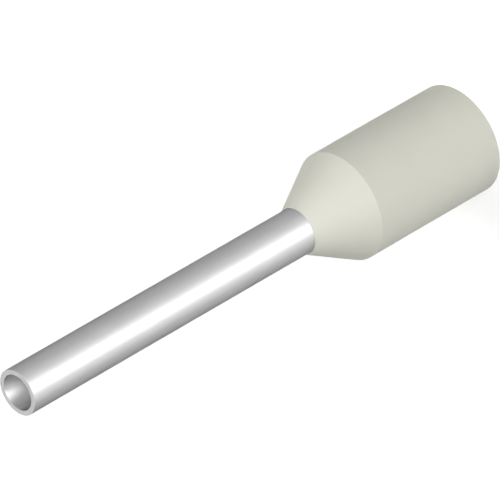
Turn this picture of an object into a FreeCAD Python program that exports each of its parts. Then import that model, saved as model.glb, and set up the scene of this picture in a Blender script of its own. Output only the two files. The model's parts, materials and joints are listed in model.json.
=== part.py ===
import FreeCAD
import Part
import Sketcher
import enum
import os

# Wire ferrule for the end of one fine stranded wire, in two pieces on one axis: a thin metal
# sleeve that is crimped on the bare strands, and a moulded collar that takes the end of the
# wire's insulation. Inside the collar the sleeve flares like a trumpet and seats in the
# collar's funnel, so that no strand can catch on its edge.
# The ferrule stands on the collar's open mouth. The origin is at the middle of the mouth,
# +Z runs up the axis to the sleeve's tip, and every length is in millimetres.

# Driving dimensions
SIZES = {
    "overall_length": 16.0,
    "sleeve_reach": 10.0,
    "sleeve_bore": 1.0,
    "sleeve_wall": 0.15,
    "sleeve_edge_round": 0.01,
    "collar_bore": 2.6,
    "collar_wall": 0.25,
    "cone_length": 1.6,
    "nose_land": 0.01,
    "neck_clearance": 0.01,
    "throat_bend": 0.4,
    "flare_margin": 0.15,
    "mouth_lead_in": 0.08,
    "mouth_edge_round": 0.02,
}

# Sizes that follow from them, as expressions on the sheet's cells
SLEEVE_BORE_RADIUS = "(Sizes.sleeve_bore / 2)"
SLEEVE_RADIUS = f"({SLEEVE_BORE_RADIUS} + Sizes.sleeve_wall)"
COLLAR_BORE_RADIUS = "(Sizes.collar_bore / 2)"
COLLAR_RADIUS = f"({COLLAR_BORE_RADIUS} + Sizes.collar_wall)"
NECK_RADIUS = f"({SLEEVE_RADIUS} + Sizes.neck_clearance)"
NOSE_RADIUS = f"({NECK_RADIUS} + Sizes.nose_land)"
COLLAR_LENGTH = "(Sizes.overall_length - Sizes.sleeve_reach)"
SHOULDER_HEIGHT = f"({COLLAR_LENGTH} - Sizes.cone_length)"
CONE_ANGLE = f"atan(({COLLAR_RADIUS} - {NOSE_RADIUS}) / Sizes.cone_length)"

# The funnel runs inside the cone, at the collar's wall thickness from it
FUNNEL_HEIGHT = f"({SHOULDER_HEIGHT} - Sizes.collar_wall * tan({CONE_ANGLE} / 2))"


def height_on_funnel(radius):
    """Give the height at which the funnel has narrowed to a radius."""
    return f"({FUNNEL_HEIGHT} + ({COLLAR_BORE_RADIUS} - {radius}) / tan({CONE_ANGLE}))"


# The sleeve's flare lies on the funnel and ends short of the collar's bore
BEND_HEIGHT = height_on_funnel(SLEEVE_RADIUS)
INNER_BEND_HEIGHT = f"({BEND_HEIGHT} - Sizes.sleeve_wall * tan({CONE_ANGLE} / 2))"
RIM_RADIUS = f"({COLLAR_BORE_RADIUS} - Sizes.flare_margin)"
RIM_HEIGHT = height_on_funnel(RIM_RADIUS)
INNER_RIM_RADIUS = f"({RIM_RADIUS} - Sizes.sleeve_wall * cos({CONE_ANGLE}))"
INNER_RIM_HEIGHT = f"({RIM_HEIGHT} - Sizes.sleeve_wall * sin({CONE_ANGLE}))"

# Each section is the wall on one side of the axis, as corners (radius, height) in order
COLLAR_SECTION = {
    "mouth_inside": (COLLAR_BORE_RADIUS, "0"),
    "mouth_outside": (COLLAR_RADIUS, "0"),
    "shoulder": (COLLAR_RADIUS, SHOULDER_HEIGHT),
    "nose_outside": (NOSE_RADIUS, COLLAR_LENGTH),
    "nose_inside": (NECK_RADIUS, COLLAR_LENGTH),
    "throat": (NECK_RADIUS, height_on_funnel(NECK_RADIUS)),
    "funnel": (COLLAR_BORE_RADIUS, FUNNEL_HEIGHT),
}
SLEEVE_SECTION = {
    "tip_outside": (SLEEVE_RADIUS, "Sizes.overall_length"),
    "tip_inside": (SLEEVE_BORE_RADIUS, "Sizes.overall_length"),
    "bend_inside": (SLEEVE_BORE_RADIUS, INNER_BEND_HEIGHT),
    "rim_inside": (INNER_RIM_RADIUS, INNER_RIM_HEIGHT),
    "rim_outside": (RIM_RADIUS, RIM_HEIGHT),
    "bend_outside": (SLEEVE_RADIUS, BEND_HEIGHT),
}

SAME_PLACE = 0.0001


class Point(enum.IntEnum):
    """A sketch's numbers for the two ends of a line."""

    START = 1
    END = 2


class Axis(enum.IntEnum):
    """A sketch's numbers for its own axes, which both start at its origin."""

    ACROSS = -1
    UP = -2


def add_sizes(doc):
    """Write the driving dimensions in a sheet, in one named cell each."""
    sheet = doc.addObject("Spreadsheet::Sheet", "Sizes")
    for row, (name, size) in enumerate(SIZES.items(), 1):
        sheet.set(f"A{row}", name)
        sheet.set(f"B{row}", str(size))
        sheet.setAlias(f"B{row}", name)
    doc.recompute()


def worked_out(item, expression):
    """Give an expression's value as a plain number."""
    value = item.evalExpression(expression)
    return float(getattr(value, "Value", value))


def add_body(doc, name):
    """Start one piece of the ferrule."""
    body = doc.addObject("PartDesign::Body", name)
    body.Label = name
    body.Placement = FreeCAD.Placement()
    return body


def fix_corner(sketch, line, direction, label, expression):
    """Hold a line's start at its distance from the origin, or on the axis where that is 0."""
    if expression == "0":
        axis = Axis.UP if direction == "DistanceX" else Axis.ACROSS
        held = Sketcher.Constraint("PointOnObject", line, Point.START, axis)
        sketch.addConstraint(held)
        return
    distance = worked_out(sketch, expression)
    dimension = Sketcher.Constraint(
        direction, Axis.ACROSS, Point.START, line, Point.START, distance
    )
    sketch.renameConstraint(sketch.addConstraint(dimension), label)
    sketch.setExpression(f"Constraints.{label}", expression)


def add_section(body, corners):
    """Draw a closed outline across X and up Z, with every corner held by the sheet.

    A line whose ends share a radius is vertical and one whose ends share a height is
    horizontal, so that no size is given twice.
    """
    sketch = body.newObject("Sketcher::SketchObject", f"{body.Name}_section")
    upright = next(p for p in body.Origin.OriginFeatures if p.Role == "XZ_Plane")
    sketch.AttachmentSupport = [(upright, "")]
    sketch.MapMode = "FlatFace"
    places = [
        FreeCAD.Vector(worked_out(sketch, radius), worked_out(sketch, height), 0)
        for radius, height in corners.values()
    ]
    for start, end in zip(places, places[1:] + places[:1]):
        sketch.addGeometry(Part.LineSegment(start, end), False)
    names = list(corners)
    for line, name in enumerate(names):
        after = (line + 1) % len(names)
        join = Sketcher.Constraint("Coincident", line, Point.END, after, Point.START)
        sketch.addConstraint(join)
        radius, height = corners[name]
        next_radius, next_height = corners[names[after]]
        if radius == next_radius:
            sketch.addConstraint(Sketcher.Constraint("Vertical", line))
        else:
            fix_corner(sketch, line, "DistanceX", f"{name}_radius", radius)
        if height == next_height:
            sketch.addConstraint(Sketcher.Constraint("Horizontal", line))
        else:
            fix_corner(sketch, line, "DistanceY", f"{name}_height", height)
    return sketch


def turn(body, section):
    """Turn a section all the way round the upright axis."""
    turned = body.newObject("PartDesign::Revolution", f"{body.Name}_wall")
    turned.Profile = section
    turned.ReferenceAxis = (section, ["V_Axis"])
    turned.Angle = 360
    section.Visibility = False
    body.Document.recompute()
    return turned


def ring_edge(body, radius, height):
    """Find the body's round edge of that radius at that height."""
    wanted_radius = worked_out(body, radius)
    wanted_height = worked_out(body, height)
    for number, edge in enumerate(body.Tip.Shape.Edges, 1):
        ring = edge.Curve
        if not isinstance(ring, Part.Circle):
            continue
        off_radius = abs(ring.Radius - wanted_radius)
        off_height = abs(ring.Center.z - wanted_height)
        if off_radius < SAME_PLACE and off_height < SAME_PLACE:
            return f"Edge{number}"
    raise ValueError(f"{body.Label} has no edge of radius {radius} at height {height}")


def dress(body, kind, name, corners, bound, size):
    """Round or chamfer the edges that some corners of the section have turned into."""
    edges = [ring_edge(body, *corner) for corner in corners]
    before = body.Tip
    feature = body.newObject(f"PartDesign::{kind}", f"{body.Name}_{name}")
    feature.Base = (before, edges)
    feature.setExpression(bound, size)
    before.Visibility = False
    body.Document.recompute()
    return feature


def make_collar(doc):
    """Mould the collar: a cylinder, a cone up to the sleeve, and the funnel inside."""
    collar = add_body(doc, "insulating_collar")
    corners = COLLAR_SECTION
    turn(collar, add_section(collar, corners))
    dress(collar, "Fillet", "throat", [corners["throat"]], "Radius", "Sizes.throat_bend")
    lead_in = [corners["mouth_inside"]]
    dress(collar, "Chamfer", "lead_in", lead_in, "Size", "Sizes.mouth_lead_in")
    edge = [corners["mouth_outside"]]
    dress(collar, "Fillet", "mouth_edge", edge, "Radius", "Sizes.mouth_edge_round")
    return collar


def make_sleeve(doc):
    """Form the sleeve: a drawn tube, flared to lie on the collar's funnel."""
    sleeve = add_body(doc, "metal_sleeve")
    corners = SLEEVE_SECTION
    turn(sleeve, add_section(sleeve, corners))
    bend = "Sizes.throat_bend"
    dress(sleeve, "Fillet", "bend_outside", [corners["bend_outside"]], "Radius", bend)
    bend = "Sizes.throat_bend + Sizes.sleeve_wall"
    dress(sleeve, "Fillet", "bend_inside", [corners["bend_inside"]], "Radius", bend)
    ends = ["tip_outside", "tip_inside", "rim_inside", "rim_outside"]
    edges = [corners[end] for end in ends]
    dress(sleeve, "Fillet", "edges", edges, "Radius", "Sizes.sleeve_edge_round")
    return sleeve


def check(doc, pieces):
    """Stop if any object failed or any piece isn't one sound solid."""
    for item in doc.Objects:
        if "Invalid" in item.State or "Error" in item.State:
            raise RuntimeError(f"{item.Label} is {item.State}")
    for piece in pieces:
        shape = piece.Shape
        if shape.isNull() or not shape.isValid() or len(shape.Solids) != 1:
            raise RuntimeError(f"{piece.Label} isn't one valid solid")


def main():
    doc = FreeCAD.newDocument("wire_ferrule")
    add_sizes(doc)
    pieces = [make_collar(doc), make_sleeve(doc)]
    doc.recompute()
    check(doc, pieces)
    os.makedirs("parts", exist_ok=True)
    for piece in pieces:
        piece.Shape.exportStep(f"parts/{piece.Label}.step")
        print(f"{piece.Label}: {piece.Shape.Volume:.4f} cubic mm")


main()
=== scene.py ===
import json
import math

import bpy
from mathutils import Matrix, Vector


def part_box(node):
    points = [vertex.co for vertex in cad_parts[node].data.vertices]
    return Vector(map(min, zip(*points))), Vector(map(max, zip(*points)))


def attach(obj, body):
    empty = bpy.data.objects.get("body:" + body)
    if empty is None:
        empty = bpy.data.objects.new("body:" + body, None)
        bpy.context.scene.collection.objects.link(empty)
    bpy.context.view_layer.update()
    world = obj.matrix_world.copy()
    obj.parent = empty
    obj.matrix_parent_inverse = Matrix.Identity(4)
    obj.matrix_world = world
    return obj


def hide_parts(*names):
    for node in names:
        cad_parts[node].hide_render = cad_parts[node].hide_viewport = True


# A wire ferrule that stands on its collar's mouth: a satin plated sleeve above a matte,
# off-white moulded collar. Both pieces are turned round the upright axis from the sizes of
# the frame. Lengths are in metres, +Z is up and the origin is at the middle of the mouth.

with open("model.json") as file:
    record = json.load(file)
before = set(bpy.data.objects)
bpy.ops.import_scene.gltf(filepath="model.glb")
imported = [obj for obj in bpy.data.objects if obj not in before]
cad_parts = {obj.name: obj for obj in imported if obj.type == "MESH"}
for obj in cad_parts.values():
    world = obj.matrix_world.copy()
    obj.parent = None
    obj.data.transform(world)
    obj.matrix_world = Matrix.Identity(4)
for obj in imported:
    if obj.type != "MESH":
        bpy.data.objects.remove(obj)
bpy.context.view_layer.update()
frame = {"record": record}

MM = 0.001
MICRON = 1e-6

# Sizes read from the frame
mount = {entry["name"]: entry["dims"] for entry in frame["record"]["mounts"]}
_, sleeve_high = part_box("metal_sleeve")
_, collar_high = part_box("insulating_collar")
TIP_HEIGHT = sleeve_high.z
SLEEVE_RADIUS = mount["sleeve_pin"]["r_mm"] * MM
SLEEVE_BORE = mount["conductor_bore"]["r_mm"] * MM
SLEEVE_WALL = SLEEVE_RADIUS - SLEEVE_BORE
RIM_RADIUS = sleeve_high.x
COLLAR_RADIUS = collar_high.x
COLLAR_LENGTH = collar_high.z
COLLAR_BORE = mount["wire_entry"]["r_mm"] * MM
COLLAR_WALL = COLLAR_RADIUS - COLLAR_BORE

# Sizes that the frame doesn't state
CONE_LENGTH = 1.6 * MM
NECK_CLEARANCE = 0.01 * MM
NOSE_LAND = 0.01 * MM
THROAT_BEND = 0.4 * MM
LEAD_IN = 0.08 * MM

# The rounds on the edges, and how far the sleeve sinks so that the pieces share no surface
MOUTH_EDGE = 0.02 * MM
SLEEVE_EDGE = 0.01 * MM
MOULDED_EDGE = 0.015 * MM
NOSE_EDGE = 0.004 * MM
SEAT_GAP = 0.002 * MM

# The neck, the cone's nose, and the funnel at the collar's wall thickness inside the cone
NECK_RADIUS = SLEEVE_RADIUS + NECK_CLEARANCE
NOSE_RADIUS = NECK_RADIUS + NOSE_LAND
CONE_ANGLE = math.atan2(COLLAR_RADIUS - NOSE_RADIUS, CONE_LENGTH)
SHOULDER_HEIGHT = COLLAR_LENGTH - CONE_LENGTH
FUNNEL_HEIGHT = SHOULDER_HEIGHT - COLLAR_WALL * math.tan(CONE_ANGLE / 2)

# How finely a section is divided
AROUND = 192
ARC_STEP = math.radians(9)
FEWEST_ARC_STEPS = 2
STRETCH_STEP = 0.3 * MM


def unit(vector):
    """The vector's direction, with a length of 1."""
    return vector / vector.length


def rounded_section(corners):
    """Give the points and outward normals of a closed section whose corners are arcs.

    Each corner is (radius from the axis, height, arc radius), and the corners run so that
    the wall is on the left. An arc ends where the straight stretches beside it begin, so
    the normals turn without a step.
    """
    places = [Vector((radius, height)) for radius, height, _ in corners]
    points = []
    for index, (_, _, arc) in enumerate(corners):
        here = places[index]
        coming = unit(here - places[index - 1])
        going = unit(places[(index + 1) % len(places)] - here)
        turn = math.atan2(coming.cross(going), coming.dot(going))
        outward = Vector((coming.y, -coming.x))
        reach = arc * math.tan(abs(turn) / 2)
        side = 1 if turn > 0 else -1
        middle = here - coming * reach - outward * arc * side
        steps = max(FEWEST_ARC_STEPS, math.ceil(abs(turn) / ARC_STEP))
        for step in range(steps + 1):
            normal = Matrix.Rotation(turn * step / steps, 2) @ outward
            points.append((middle + normal * arc * side, normal))
    return points


def divided(points):
    """Add points to the long straight stretches of a section."""
    finer = []
    for index, (here, normal) in enumerate(points):
        after, _ = points[(index + 1) % len(points)]
        steps = max(1, math.ceil((after - here).length / STRETCH_STEP))
        for step in range(steps):
            finer.append((here.lerp(after, step / steps), normal))
    return finer


def turned(name, corners):
    """Make a piece by turning a section round the upright axis."""
    section = divided(rounded_section(corners))
    vertices = []
    normals = []
    for place, normal in section:
        for spoke in range(AROUND):
            angle = 2 * math.pi * spoke / AROUND
            x, y = math.cos(angle), math.sin(angle)
            vertices.append((place.x * x, place.x * y, place.y))
            normals.append((normal.x * x, normal.x * y, normal.y))
    faces = []
    for index in range(len(section)):
        ring = index * AROUND
        ring_after = (index + 1) % len(section) * AROUND
        for spoke in range(AROUND):
            beside = (spoke + 1) % AROUND
            faces.append((ring + spoke, ring + beside, ring_after + beside, ring_after + spoke))
    mesh = bpy.data.meshes.new(name)
    mesh.from_pydata(vertices, [], faces)
    mesh.shade_smooth()
    mesh.normals_split_custom_set_from_vertices(normals)
    piece = bpy.data.objects.new(name, mesh)
    bpy.context.scene.collection.objects.link(piece)
    return piece


def height_on_funnel(radius):
    """The height at which the funnel has narrowed to a radius."""
    return FUNNEL_HEIGHT + (COLLAR_BORE - radius) / math.tan(CONE_ANGLE)


def make_collar():
    """The moulded collar: cylinder, cone and nose outside, bore, funnel and neck inside."""
    return turned(
        "collar",
        [
            (COLLAR_BORE + LEAD_IN, 0, MOULDED_EDGE),
            (COLLAR_RADIUS, 0, MOUTH_EDGE),
            (COLLAR_RADIUS, SHOULDER_HEIGHT, MOULDED_EDGE),
            (NOSE_RADIUS, COLLAR_LENGTH, NOSE_EDGE),
            (NECK_RADIUS, COLLAR_LENGTH, NOSE_EDGE),
            (NECK_RADIUS, height_on_funnel(NECK_RADIUS), THROAT_BEND),
            (COLLAR_BORE, FUNNEL_HEIGHT, MOULDED_EDGE),
            (COLLAR_BORE, LEAD_IN, MOULDED_EDGE),
        ],
    )


def make_sleeve():
    """The drawn sleeve: a thin tube whose lower end flares to lie on the funnel."""
    lower = SEAT_GAP / math.sin(CONE_ANGLE)
    bend_height = height_on_funnel(SLEEVE_RADIUS) - lower
    rim_height = height_on_funnel(RIM_RADIUS) - lower
    inner_rim = RIM_RADIUS - SLEEVE_WALL * math.cos(CONE_ANGLE)
    inner_rim_height = rim_height - SLEEVE_WALL * math.sin(CONE_ANGLE)
    inner_bend_height = bend_height - SLEEVE_WALL * math.tan(CONE_ANGLE / 2)
    return turned(
        "sleeve",
        [
            (SLEEVE_RADIUS, TIP_HEIGHT, SLEEVE_EDGE),
            (SLEEVE_BORE, TIP_HEIGHT, SLEEVE_EDGE),
            (SLEEVE_BORE, inner_bend_height, THROAT_BEND + SLEEVE_WALL),
            (inner_rim, inner_rim_height, SLEEVE_EDGE),
            (RIM_RADIUS, rim_height, SLEEVE_EDGE),
            (SLEEVE_RADIUS, bend_height, THROAT_BEND),
        ],
    )


# Grains: their steps to the metre along each axis, and their detail
MOULD_CLOUD = ((900, 900, 900), 2)
MOULD_GRAIN = ((14000, 14000, 14000), 3)
DRAWN_LINES = ((9000, 9000, 260), 3)
PLATE_CLOUD = ((1500, 1500, 900), 2)
CUT_GRAIN = ((12000, 12000, 12000), 3)

# The span that nearly all of a grain's values lie in
GRAIN_LOW = 0.3
GRAIN_HIGH = 0.7

# How deep each relief is
MOULD_RELIEF = 0.6 * MICRON
DRAWN_RELIEF = 0.3 * MICRON
CUT_RELIEF = 0.5 * MICRON

# Colours and roughnesses, each as its lowest and highest value
OFF_WHITE = ((0.68, 0.68, 0.6), (0.71, 0.71, 0.63))
MOULD_ROUGHNESS = (0.5, 0.62)
TIN = ((0.54, 0.54, 0.54), (0.58, 0.58, 0.58))
DRAWN_ROUGHNESS = (0.57, 0.63)
# The cut end's tin is paler than the plating's: painted light for its upward, lit face
PAINTED_LIGHT_CUT_TIN = ((0.6, 0.6, 0.6), (0.64, 0.64, 0.64))
CUT_ROUGHNESS = (0.5, 0.6)

# The plastic's shine, and how the drawn metal spreads its reflections round the tube
PLASTIC_IOR = 1.49
PLASTIC_SHINE = 0.075
TIN_AT_GLANCING = (0.35, 0.35, 0.35, 1)
DRAWN_SPREAD = 0.9
QUARTER_TURN = 0.25

# The cut end is made of the sleeve's second material, and its faces have normals whose
# height is over this
CUT_MATERIAL = 1
FACES_UP = 0.9


class Nodes:
    """A shader's node tree, with a short way to add and join nodes."""

    def __init__(self, owner):
        owner.use_nodes = True
        self.tree = owner.node_tree
        self.tree.nodes.clear()

    def add(self, kind, inputs=None, **settings):
        """Add a node, set it up and fill its inputs with values or other nodes' outputs.

        The inputs go by their identifiers, because several of a node can share a name.
        """
        node = self.tree.nodes.new(kind)
        for name, value in settings.items():
            setattr(node, name, value)
        sockets = {socket.identifier: socket for socket in node.inputs}
        for name, value in (inputs or {}).items():
            if isinstance(value, bpy.types.NodeSocket):
                self.tree.links.new(value, sockets[name])
            else:
                sockets[name].default_value = value
        return node

    def grain(self, steps_to_the_metre, detail):
        """A noise between 0 and 1 that stays with the object."""
        at = self.add("ShaderNodeTexCoord").outputs["Object"]
        stretched = {"Vector": at, "Scale": steps_to_the_metre}
        places = self.add("ShaderNodeMapping", stretched).outputs["Vector"]
        inputs = {"Vector": places, "Scale": 1.0, "Detail": detail}
        return self.add("ShaderNodeTexNoise", inputs).outputs["Fac"]

    def between(self, grain, low, high):
        """A value that runs from low to high as the grain runs over its usual span."""
        inputs = {
            "Value": grain,
            "From Min": GRAIN_LOW,
            "From Max": GRAIN_HIGH,
            "To Min": low,
            "To Max": high,
        }
        return self.add("ShaderNodeMapRange", inputs).outputs["Result"]

    def tint(self, grain, low, high):
        """A colour that runs from low to high with a grain."""
        inputs = {"Factor_Float": grain, "A_Color": (*low, 1), "B_Color": (*high, 1)}
        node = self.add("ShaderNodeMix", inputs, data_type="RGBA")
        results = {socket.identifier: socket for socket in node.outputs}
        return results["Result_Color"]

    def bump(self, grain, depth):
        """The normal of a surface whose relief is a grain times a depth."""
        inputs = {"Height": grain, "Distance": depth, "Strength": 1.0}
        return self.add("ShaderNodeBump", inputs).outputs["Normal"]

    def surface(self, inputs):
        """Make the material a principled one with these inputs."""
        shader = self.add("ShaderNodeBsdfPrincipled", inputs).outputs["BSDF"]
        self.add("ShaderNodeOutputMaterial", {"Surface": shader})


def collar_plastic():
    """Matte, slightly warm off-white plastic with the fine grain of its mould."""
    material = bpy.data.materials.new("matte_plastic")
    nodes = Nodes(material)
    cloud = nodes.grain(*MOULD_CLOUD)
    grain = nodes.grain(*MOULD_GRAIN)
    nodes.surface(
        {
            "Base Color": nodes.tint(cloud, *OFF_WHITE),
            "Roughness": nodes.between(grain, *MOULD_ROUGHNESS),
            "Normal": nodes.bump(grain, MOULD_RELIEF),
            "IOR": PLASTIC_IOR,
            "Specular IOR Level": PLASTIC_SHINE,
        }
    )
    return material


def plated_metal():
    """Satin tin plating, with faint lines along the axis from the drawing of the tube."""
    material = bpy.data.materials.new("satin_tin")
    nodes = Nodes(material)
    lines = nodes.grain(*DRAWN_LINES)
    cloud = nodes.grain(*PLATE_CLOUD)
    tangent = nodes.add("ShaderNodeTangent", direction_type="RADIAL", axis="Z")
    nodes.surface(
        {
            "Base Color": nodes.tint(cloud, *TIN),
            "Metallic": 1.0,
            "Specular Tint": TIN_AT_GLANCING,
            "Roughness": nodes.between(lines, *DRAWN_ROUGHNESS),
            "Normal": nodes.bump(lines, DRAWN_RELIEF),
            "Anisotropic": DRAWN_SPREAD,
            "Anisotropic Rotation": QUARTER_TURN,
            "Tangent": tangent.outputs["Tangent"],
        }
    )
    return material


def cut_metal():
    """The sleeve's cut end, which is as matte in every direction. Its colour is lighter than
    the plating's, which is painted light on its upward face.
    """
    material = bpy.data.materials.new("cut_tin_painted_lighter")
    nodes = Nodes(material)
    grain = nodes.grain(*CUT_GRAIN)
    nodes.surface(
        {
            "Base Color": nodes.tint(grain, *PAINTED_LIGHT_CUT_TIN),
            "Metallic": 1.0,
            "Roughness": nodes.between(grain, *CUT_ROUGHNESS),
            "Normal": nodes.bump(grain, CUT_RELIEF),
        }
    )
    return material


# The studio stands round the ferrule's middle. A place in it is given by its azimuth and
# elevation, seen from there: azimuth 0 is in front and 90 is on the +X side.
STUDIO_CENTRE = Vector((0, 0, TIP_HEIGHT / 2))
FLOOR_REACH = 0.7

# The floor's paleness where it is seen, the glow that brings it to white there, and its
# paleness where it throws light back
FLOOR_SHOWN = 0.85
FLOOR_GLOW = 0.335
FLOOR_BOUNCE = 0.5

# The room's light, and the heights of view between which the horizon's light falls to it
ROOM_LIGHT = 0.14
HORIZON_LIGHT = 1.0
HORIZON_BAND = (0.04, 0.07)

# What a lamp of each kind does: it lights what is matte, shows in what is shiny, and
# casts a shadow
LAMP_KINDS = {
    "full": (True, True, True),
    "matte": (True, False, True),
    "fill": (True, False, False),
    "card": (False, True, True),
}

# Each lamp: azimuth, elevation, level and kind. The level is that at which it lights a
# surface that faces it, where 1 shows white as white.
LAMP_DISTANCE = 0.5
LAMP_SIZE = 0.3
LAMPS = {
    "key": (0, 30, 0.385, "matte"),
    "fill_left": (-28, 12, 0.4, "fill"),
    "fill_right": (92, 65, 0.555, "fill"),
    "fill_back": (180, 15, 0.1, "fill"),
    "back": (180, 10, 0.3, "full"),
    "card_high_left": (-20, 65, 0.5, "card"),
    "card_high_right": (54, 65, 0.69, "card"),
    "card_left": (-60, 35, 0.41, "card"),
    "card_right": (100, 35, 0.1, "card"),
    "card_far_left": (-102, 35, 0.13, "card"),
    "card_front_left": (-21, 20, 0.85, "card"),
    "card_front": (-1, 20, 0.49, "card"),
}

# The camera: a long lens in front and above, turned so that the sleeve points down to the
# left. The last two say which way the axis points in the picture before and after the
# turn, in degrees from the picture's right.
CAMERA_LENS = 604.1
CAMERA_AZIMUTH = 0
CAMERA_ELEVATION = 34.78
CAMERA_DISTANCE = 0.21719
CAMERA_AIM = Vector((0.1892, -0.1934, 7.721)) * MM
UPRIGHT_IN_PICTURE = 90
TIP_IN_PICTURE = 209.96


def direction(azimuth, elevation):
    """The unit vector towards a place in the studio."""
    across, up = math.radians(azimuth), math.radians(elevation)
    level = math.cos(up)
    return Vector((math.sin(across) * level, -math.cos(across) * level, math.sin(up)))


def make_floor():
    """A pale floor that shows white, keeps the shadow and throws back a little light."""
    mesh = bpy.data.meshes.new("floor")
    corners = [(-1, -1), (1, -1), (1, 1), (-1, 1)]
    vertices = [(x * FLOOR_REACH, y * FLOOR_REACH, 0) for x, y in corners]
    mesh.from_pydata(vertices, [], [(0, 1, 2, 3)])
    floor = bpy.data.objects.new("floor", mesh)
    bpy.context.scene.collection.objects.link(floor)
    material = bpy.data.materials.new("floor")
    nodes = Nodes(material)
    path = nodes.add("ShaderNodeLightPath")
    shown = path.outputs["Is Camera Ray"]
    for other in ("Is Glossy Ray", "Is Transmission Ray"):
        either = {"Value": shown, "Value_001": path.outputs[other]}
        shown = nodes.add("ShaderNodeMath", either, operation="MAXIMUM").outputs["Value"]
    pale = {"Color": (FLOOR_SHOWN, FLOOR_SHOWN, FLOOR_SHOWN, 1)}
    dull = {"Color": (FLOOR_BOUNCE, FLOOR_BOUNCE, FLOOR_BOUNCE, 1)}
    lit = nodes.add("ShaderNodeBsdfDiffuse", pale).outputs["BSDF"]
    glow = nodes.add("ShaderNodeEmission", {"Strength": FLOOR_GLOW}).outputs["Emission"]
    both = {"Shader": lit, "Shader_001": glow}
    seen = nodes.add("ShaderNodeAddShader", both).outputs["Shader"]
    plain = nodes.add("ShaderNodeBsdfDiffuse", dull).outputs["BSDF"]
    choice = {"Fac": shown, "Shader": plain, "Shader_001": seen}
    mixed = nodes.add("ShaderNodeMixShader", choice).outputs["Shader"]
    nodes.add("ShaderNodeOutputMaterial", {"Surface": mixed})
    mesh.materials.append(material)


def make_room():
    """Even, dim light from all round, and a pale band at the floor's horizon."""
    world = bpy.data.worlds.new("room")
    nodes = Nodes(world)
    toward = nodes.add("ShaderNodeTexCoord").outputs["Generated"]
    height = nodes.add("ShaderNodeSeparateXYZ", {"Vector": toward}).outputs["Z"]
    band_low, band_high = HORIZON_BAND
    falling = {
        "Value": height,
        "From Min": band_low,
        "From Max": band_high,
        "To Min": HORIZON_LIGHT,
        "To Max": ROOM_LIGHT,
    }
    strength = nodes.add("ShaderNodeMapRange", falling).outputs["Result"]
    light = nodes.add("ShaderNodeBackground", {"Strength": strength}).outputs["Background"]
    nodes.add("ShaderNodeOutputWorld", {"Surface": light})
    bpy.context.scene.world = world


def make_lamp(name, azimuth, elevation, level, kind):
    """A soft box that faces the ferrule.

    A flat lamp throws its power over pi times the distance squared, and matte white
    throws back one part in pi of what falls on it.
    """
    lights, shows, shades = LAMP_KINDS[kind]
    light = bpy.data.lights.new(name, "AREA")
    light.size = LAMP_SIZE
    light.energy = level * math.pi**2 * LAMP_DISTANCE**2
    light.use_shadow = shades
    lamp = bpy.data.objects.new(name, light)
    away = direction(azimuth, elevation)
    lamp.location = STUDIO_CENTRE + away * LAMP_DISTANCE
    lamp.rotation_mode = "QUATERNION"
    lamp.rotation_quaternion = away.to_track_quat("Z", "Y")
    lamp.visible_camera = False
    lamp.visible_diffuse = lights
    lamp.visible_glossy = shows
    bpy.context.scene.collection.objects.link(lamp)


def make_camera():
    """A camera that looks along its direction from the aim, rolled to the picture's slant."""
    camera = bpy.data.objects.new("camera", bpy.data.cameras.new("camera"))
    camera.data.lens = CAMERA_LENS
    back = direction(CAMERA_AZIMUTH, CAMERA_ELEVATION)
    upright = back.to_track_quat("Z", "Y").to_matrix()
    roll = math.radians(UPRIGHT_IN_PICTURE - TIP_IN_PICTURE)
    slanting = upright @ Matrix.Rotation(roll, 3, "Z")
    place = CAMERA_AIM + back * CAMERA_DISTANCE
    camera.matrix_world = Matrix.LocRotScale(place, slanting.to_quaternion(), None)
    bpy.context.scene.collection.objects.link(camera)
    bpy.context.scene.camera = camera


collar = make_collar()
sleeve = make_sleeve()
for piece, node, slot, materials in (
    (collar, "insulating_collar", "collar_plastic", [collar_plastic()]),
    (sleeve, "metal_sleeve", "plated_metal", [plated_metal(), cut_metal()]),
):
    for material in materials:
        piece.data.materials.append(material)
    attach(piece, "root")
    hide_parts(node)
# The upward faces of the cut end take its paler tin, which is painted light
for face in sleeve.data.polygons:
    if face.normal.z > FACES_UP:
        face.material_index = CUT_MATERIAL

make_floor()
make_room()
for name, lamp in LAMPS.items():
    make_lamp(name, *lamp)
make_camera()
bpy.context.scene.view_settings.view_transform = "Standard"
